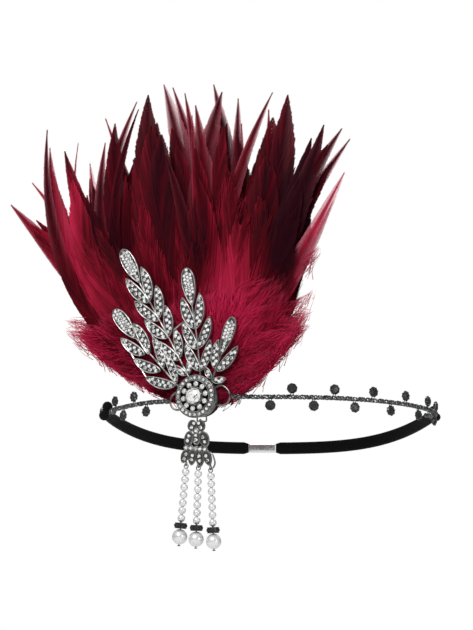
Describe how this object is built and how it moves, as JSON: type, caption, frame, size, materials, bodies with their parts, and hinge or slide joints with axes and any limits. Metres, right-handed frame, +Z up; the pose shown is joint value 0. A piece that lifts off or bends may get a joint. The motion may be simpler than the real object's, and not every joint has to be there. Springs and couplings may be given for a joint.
{
  "type": "feather headband",
  "caption": "Head loop of rope chain and elastic with a rhinestone brooch, a hanging pearl pendant and an upright feather fan.",
  "frame": {"origin": "middle of the head loop, level with the joints between chain and elastic at its two sides", "axes": "+Z up along the wearer's head, -Y the way the wearer faces, +X to the right as seen from the front"},
  "size_m": [0.2412, 0.1766, 0.2579],
  "materials": {
    "antique_silver": "darkened silver plate, bright on raised rims",
    "bright_silver": "polished silver plate",
    "gunmetal": "dark grey plated chain",
    "crystal": "foiled clear cut glass",
    "black_crystal": "polished black cut glass in dark metal",
    "pearl": "lustrous white imitation pearl",
    "elastic": "matte black knitted elastic",
    "feather": "dyed crimson to burgundy hackle feathers with downy base"
  },
  "bodies": {
    "headband": {"brooch": "antique_silver", "centre_stone": "crystal", "plume": "feather", "crimp_sleeve": "bright_silver", "ring_stone_01": "crystal", "ring_stone_02": "crystal", "ring_stone_03": "crystal", "ring_stone_04": "crystal", "ring_stone_05": "crystal", "ring_stone_06": "crystal", "ring_stone_07": "crystal", "ring_stone_08": "crystal", "ring_stone_09": "crystal", "ring_stone_10": "crystal", "chain_left": "gunmetal", "end_ring_left": "gunmetal", "elastic_left": "elastic", "chain_right": "gunmetal", "end_ring_right": "gunmetal", "elastic_right": "elastic", "chain_stone_01": "black_crystal", "chain_stone_02": "black_crystal", "chain_stone_03": "black_crystal", "chain_stone_04": "black_crystal", "chain_stone_05": "black_crystal", "chain_stone_06": "black_crystal", "chain_stone_07": "black_crystal", "chain_stone_08": "black_crystal", "chain_stone_09": "black_crystal", "chain_stone_10": "black_crystal", "chain_stone_11": "black_crystal", "chain_stone_12": "black_crystal", "chain_stone_13": "black_crystal", "chain_stone_14": "black_crystal", "chain_stone_15": "black_crystal", "chain_stone_16": "black_crystal"},
    "pendant": {"pendant_plate": "antique_silver", "pearl_string_1": "pearl", "rondelle_1": "black_crystal", "large_pearl_1": "pearl", "pearl_string_2": "pearl", "rondelle_2": "black_crystal", "large_pearl_2": "pearl", "pearl_string_3": "pearl", "rondelle_3": "black_crystal", "large_pearl_3": "pearl"}
  },
  "joints": [
    {"name": "pendant_swing", "type": "hinge", "parent": "headband", "child": "pendant", "pos_m": [-0.03768, -0.07246, -0.0141], "axis": [-0.9063, 0.4226, 0], "range_deg": [-60, 70]}
  ]
}
